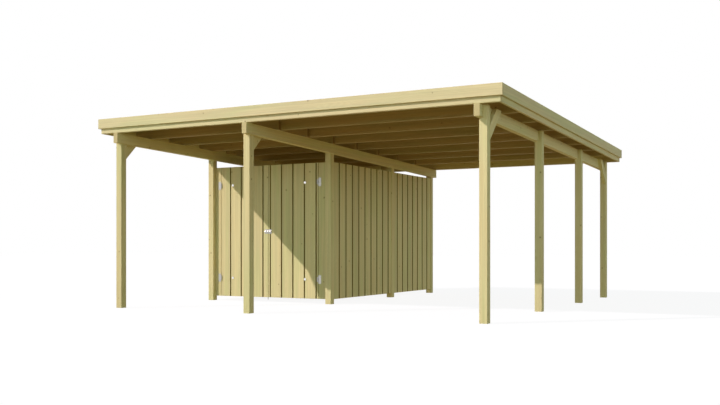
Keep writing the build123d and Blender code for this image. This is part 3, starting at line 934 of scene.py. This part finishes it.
def strip_section(y_rear, y_front, has_lap):
    """Section of a strip in Y and Z, from its rear edge on the strip below to its front edge."""
    lap, step = (LAP, STEP) if has_lap else (0.0, 0.0)
    raised = FELT if has_lap else 0.0
    under = [(y_rear, raised), (y_rear - lap, raised), (y_rear - lap - step, 0.0), (y_front, 0.0)]
    over = [(y, z + FELT) for y, z in reversed(under)]
    return under + over if has_lap else [under[0], under[3], over[0], over[3]]


def upturn_section():
    """Section of an edge strip from its foot, round the corner, to its top edge: distance in, height."""
    steps = [math.radians(angle) for angle in (0, 30, 60, 90)]
    outer = UPTURN_CORNER
    inner = UPTURN_CORNER - FELT
    outside = [(outer - outer * math.sin(turn), outer - outer * math.cos(turn)) for turn in steps]
    inside = [(outer - inner * math.sin(turn), outer - inner * math.cos(turn)) for turn in reversed(steps)]
    foot = [(UPTURN_FOOT, FELT), (UPTURN_FOOT, 0.0)]
    return outside + [(0.0, UPTURN), (FELT, UPTURN)] + inside + foot


def add_upturn(bm, start, inward, length, under):
    """An edge strip on what lies under it: its top edge is level with the others."""
    section = [(reach, under + min(rise, UPTURN - under)) for reach, rise in upturn_section()]
    outline = [start + inward * reach + UP * rise for reach, rise in section]
    add_plank(bm, outline, length, slot=0, ease=FELT_EASE)


bm = new_timber_mesh()
strip_length = deck_high.x - deck_low.x - 2 * FELT
strip_rear = deck_high.y - FELT
while strip_rear - LAP > deck_low.y + FELT:
    strip_front = max(strip_rear - STRIP_WIDTH, deck_low.y + FELT)
    section = strip_section(strip_rear, strip_front, strip_rear < deck_high.y - LAP)
    outline = [Vector((deck_low.x + FELT, y, deck_top + z)) for y, z in section]
    add_plank(bm, outline, ALONG_X * strip_length, slot=0, ease=FELT_EASE)
    strip_rear = strip_front + LAP if strip_front > deck_low.y + FELT else strip_front

for edge_x, inward in ((deck_low.x, ALONG_X), (deck_high.x, -ALONG_X)):
    start = Vector((edge_x, deck_low.y, deck_top))
    add_upturn(bm, start, inward, ALONG_Y * (deck_high.y - deck_low.y), under=2 * FELT)
for edge_y, inward in ((deck_low.y, ALONG_Y), (deck_high.y, -ALONG_Y)):
    start = Vector((deck_low.x + FELT, edge_y, deck_top))
    add_upturn(bm, start, inward, ALONG_X * strip_length, under=3 * FELT)
bmesh.ops.transform(bm, matrix=FALL, verts=bm.verts)
finish_piece(bm, "felt_strips", CARPORT, [roof_felt], replaced=["roof_felt"])

# %% [markdown]
# ## Screws
# A screw head is a low cone with a recess for the driver. Each is made where it is driven, flush with
# the wood: two through every board at each rail, on lines that a joiner would mark with a batten. The
# heads of one body are one mesh, because hundreds of small objects would slow every tool down. The
# function for a disc is used again for the caps further down.


# %% Screw heads
HEAD_RADIUS = 0.0045
HEAD_HEIGHT = 0.0012
HEAD_SIDES = 12
HEAD_TAPER = 0.9
RECESS_RIM = 0.0018
RECESS_DEPTH = 0.0009
PROUD = 0.0003


def add_disc(bm, centre, outward, foot_radius, top_radius, height, sides):
    """A low cone that faces outward; gives its top face."""
    turn = outward.to_track_quat("Z", "Y").to_matrix().to_4x4()
    made = bmesh.ops.create_cone(
        bm,
        cap_ends=True,
        segments=sides,
        radius1=foot_radius,
        radius2=top_radius,
        depth=height,
        matrix=Matrix.Translation(centre) @ turn,
    )
    faces = {face for vert in made["verts"] for face in vert.link_faces}
    return max(faces, key=lambda face: face.calc_center_median().dot(outward))


def add_screw(bm, place, outward, radius=HEAD_RADIUS, proud=PROUD):
    """A countersunk head whose top stands a hair out of the surface."""
    centre = place + outward * (proud - HEAD_HEIGHT / 2)
    top = add_disc(bm, centre, outward, radius * HEAD_TAPER, radius, HEAD_HEIGHT, HEAD_SIDES)
    bmesh.ops.inset_region(bm, faces=[top], thickness=RECESS_RIM, depth=-RECESS_DEPTH)


# %% [markdown]
# The rails' heights come from the frame, and a ledge is screwed a quarter of its height from its outer
# edge. A narrow board gets one row of screws instead of two.

# %% Screws through the boards
EDGE_DISTANCE = 0.030
NARROW_BOARD = 0.085
LEDGE_SCREW_SHARE = 0.25
RAIL_LEVELS = sorted({round((low.z + high.z) / 2, 4) for low, high in solid_boxes("wall_rails")})


def screw_marks(span):
    """Two marks near a board's edges, or one in the middle of a narrow board."""
    span_from, span_to = span
    if span_to - span_from < NARROW_BOARD:
        return [(span_from + span_to) / 2]
    return [span_from + EDGE_DISTANCE, span_to - EDGE_DISTANCE]


def screw_boards(bm, box, along, outward, spans, levels):
    """Screws through every board of a panel at some levels."""
    start = panel_corner(box, along, outward)
    count = 0
    for span in spans:
        for mark in screw_marks(span):
            for level in levels:
                place = start + along * mark
                place.z = level
                add_screw(bm, place - outward * OUT_OF_LINE / 2, outward)
                count += 1
    return count


screws = {body: bmesh.new() for body in (CARPORT, LEFT_DOOR, RIGHT_DOOR)}
from_edge = LEDGE_HEIGHT * LEDGE_SCREW_SHARE
total = 0
for name, (along, outward, first_joint) in PANELS.items():
    total += screw_boards(screws[CARPORT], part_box(name), along, outward, board_places[name], RAIL_LEVELS)
for side, (body, along, first_joint) in LEAVES.items():
    node = f"door_{side}_boards"
    low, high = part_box(f"door_{side}_ledges")
    ledge_levels = [low.z + from_edge, high.z - from_edge]
    total += screw_boards(screws[body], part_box(node), along, -ALONG_Y, board_places[node], ledge_levels)
print("screws in the boards:", total)

# %% [markdown]
# The beams are screwed to the posts from their free side, and the jambs to their studs.

# %% Screws in the frame
FRAME_HEAD = 0.007
RAFTER_HEIGHT = 0.120
BEAM_HEIGHT = 0.130
SCREW_PAIR = ((-0.02, -0.03), (0.02, 0.03))
CLEARLY_BESIDE = 0.01
count = 0
for column in ("left", "middle", "right"):
    beam_low, beam_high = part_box(f"beam_{column}")
    for row in ("front", "second", "third", "rear"):
        low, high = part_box(f"post_{row}_{column}")
        post = (low + high) / 2
        free_side = 1 if beam_high.x > post.x + CLEARLY_BESIDE and column != "right" else -1
        face_x = beam_high.x if free_side > 0 else beam_low.x
        beam_middle = deck_top - DECK_THICKNESS - RAFTER_HEIGHT - BEAM_HEIGHT / 2 - SLOPE * post.y
        for across, rise in SCREW_PAIR:
            place = Vector((face_x, post.y + across, beam_middle + rise))
            add_screw(screws[CARPORT], place, ALONG_X * free_side, FRAME_HEAD)
            count += 1
print("screws in the frame:", count)

# %% Screws through the jambs
STUD_MIDDLE = 0.022
JAMB_SCREWS = (0.05, 0.35, 0.65, 0.95)
for side in ("left", "right"):
    low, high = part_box(f"door_jamb_{side}")
    stud_line = low.x + STUD_MIDDLE if side == "left" else high.x - STUD_MIDDLE
    for share in JAMB_SCREWS:
        place = Vector((stud_line, low.y, low.z + share * (high.z - low.z)))
        add_screw(screws[CARPORT], place, -ALONG_Y)
for body, bm in screws.items():
    finish_piece(bm, f"screws_{body}", body, [screw_zinc])

# %% [markdown]
# ## Screws and caps on the fittings
# Each hinge plate is held to its jamb by three pan-headed screws. Bright caps cover the heads of the
# coach bolts that go through the straps. A cap is a disc with a rolled rim: its flat face mirrors the
# pale sky, which is why the four of them shine out of the shade.

# %% Fittings
PLATE_WIDTH = 0.042
PLATE_THICKNESS = 0.003
PLATE_SCREW_RISES = (-0.045, 0.0, 0.045)
BOLT_FROM_HINGE = 0.208
HINGE_FROM_LEAF = 0.006
CAP_RADIUS = 0.0185
CAP_HEIGHT = 0.0085
CAP_RIM = 0.003
CAP_SIDES = 28


def add_cap(bm, place):
    """A disc on the front of a leaf, with a rolled rim."""
    centre = place - ALONG_Y * CAP_HEIGHT / 2
    front = add_disc(bm, centre, -ALONG_Y, CAP_RADIUS, CAP_RADIUS, CAP_HEIGHT, CAP_SIDES)
    ease_edges(bm, front.edges, CAP_RIM, segments=4)


plate_screws = bmesh.new()
plate_low, plate_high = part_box("jamb_hinge_plates")
for side, (body, along, first_joint) in LEAVES.items():
    low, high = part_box(f"door_{side}_boards")
    hinge_edge = low.x if along.x > 0 else high.x
    plate_middle = plate_low.x + PLATE_WIDTH / 2 if along.x > 0 else plate_high.x - PLATE_WIDTH / 2
    caps = bmesh.new()
    for height in HINGE_HEIGHTS:
        level = low.z + height
        bolt_x = hinge_edge + along.x * (BOLT_FROM_HINGE + HINGE_FROM_LEAF)
        add_cap(caps, Vector((bolt_x, low.y, level)))
        for rise in PLATE_SCREW_RISES:
            place = Vector((plate_middle, low.y - PLATE_THICKNESS, level + rise))
            add_screw(plate_screws, place, -ALONG_Y, proud=HEAD_HEIGHT)
    finish_piece(caps, f"bolt_caps_{side}", body, [bright_zinc])
finish_piece(plate_screws, "screws_hinge_plates", CARPORT, [zinc_steel])

# %% [markdown]
# ## Light
# One sun stands low at the front left and draws the roof's edge across the doors. The sky is bright
# near the horizon and brightest in front, on the sun's side, so it reaches far in under the roof and
# leaves the backs of the posts in shade. The camera sees white behind the object, and so do metal's
# reflections.

# %% Sun
SUN_DIRECTION = Vector((1.0, 1.0, -0.96))
SUN_COLOUR = (1.0, 0.885, 0.96)
SUN_STRENGTH = 3.07
SUN_WIDTH = math.radians(0.5)

sun_data = bpy.data.lights.new("sun", "SUN")
sun_data.energy = SUN_STRENGTH
sun_data.color = SUN_COLOUR
sun_data.angle = SUN_WIDTH
sun = bpy.data.objects.new("sun", sun_data)
sun.rotation_euler = SUN_DIRECTION.to_track_quat("-Z", "Y").to_euler()
bpy.context.scene.collection.objects.link(sun)
print("the sun is", round(math.degrees(math.asin(-SUN_DIRECTION.normalized().z)), 1), "degrees high")


# %% Sky
SKY_COLOUR = (0.74, 0.94, 1.0, 1.0)
HORIZON_STRENGTH = 1.57
ZENITH_STRENGTH = 0.2
ZENITH_STARTS = 0.45
FRONT_SHARE = 0.34


def seen_directly(tree):
    """1 for rays from the camera, from a shiny surface or through glass."""
    path = add_node(tree, "ShaderNodeLightPath").outputs
    direct = sums(tree, "MAXIMUM", path["Is Camera Ray"], path["Is Glossy Ray"])
    return sums(tree, "MAXIMUM", direct, path["Is Transmission Ray"])


world = bpy.data.worlds.new("sky")
bpy.context.scene.world = world
world.use_nodes = True
sky_tree = world.node_tree
sky_tree.nodes.clear()
direction = add_node(sky_tree, "ShaderNodeTexCoord").outputs["Generated"]
parts = add_node(sky_tree, "ShaderNodeSeparateXYZ", {"Vector": direction}).outputs
by_height = ramp(sky_tree, parts["Z"], 0.0, ZENITH_STARTS, HORIZON_STRENGTH, ZENITH_STRENGTH)
by_side = sums(sky_tree, "MULTIPLY_ADD", parts["Y"], -FRONT_SHARE, 1.0)
brightness = sums(sky_tree, "MULTIPLY", by_height, by_side)
sky = add_node(sky_tree, "ShaderNodeBackground", {"Color": SKY_COLOUR, "Strength": brightness})
white = add_node(sky_tree, "ShaderNodeBackground", {"Color": (1.0, 1.0, 1.0, 1.0), "Strength": 1.0})
either = add_node(
    sky_tree, "ShaderNodeMixShader", {0: seen_directly(sky_tree), 1: sky.outputs[0], 2: white.outputs[0]}
)
add_node(sky_tree, "ShaderNodeOutputWorld", {"Surface": either.outputs[0]})
print("the sky has", len(sky_tree.nodes), "nodes")

# %% [markdown]
# The floor is pale. To the camera most of it is plain white like the backdrop, and the rest is a matt
# surface that keeps the object's shadow. What it gives back to the timber is a soft warm light from
# below, the same everywhere, which is what picks out the lower edges of the rafters.

# %% Floor
FLOOR_REACH = 60.0
FLOOR_WHITE_SHARE = 0.7
FLOOR_WHITE = 1.3
FLOOR_COLOUR = (0.42, 0.42, 0.42, 1.0)
FLOOR_DROP = 0.001
WARM_GLOW = (0.282, 0.206, 0.067, 1.0)

floor_material = bpy.data.materials.new("pale_floor")
floor_material.use_nodes = True
floor_tree = floor_material.node_tree
floor_tree.nodes.clear()
seen = seen_directly(floor_tree)
matt = add_node(floor_tree, "ShaderNodeBsdfDiffuse", {"Color": FLOOR_COLOUR}).outputs[0]
bright = add_node(floor_tree, "ShaderNodeEmission", {"Strength": FLOOR_WHITE}).outputs[0]
warm = add_node(floor_tree, "ShaderNodeEmission", {"Color": WARM_GLOW, "Strength": 1.0}).outputs[0]
pale = add_node(floor_tree, "ShaderNodeMixShader", {0: FLOOR_WHITE_SHARE, 1: matt, 2: bright}).outputs[0]
surface = add_node(floor_tree, "ShaderNodeMixShader", {0: seen, 1: warm, 2: pale}).outputs[0]
add_node(floor_tree, "ShaderNodeOutputMaterial", {"Surface": surface})

bm = bmesh.new()
bmesh.ops.create_grid(bm, x_segments=1, y_segments=1, size=FLOOR_REACH)
bmesh.ops.translate(bm, vec=(0.0, 0.0, -FLOOR_DROP), verts=bm.verts)
floor_mesh = bpy.data.meshes.new("floor")
bm.to_mesh(floor_mesh)
bm.free()
floor = bpy.data.objects.new("floor", floor_mesh)
bpy.context.scene.collection.objects.link(floor)
dress(floor, floor_material)
print("the floor is", 2 * FLOOR_REACH, "m wide")
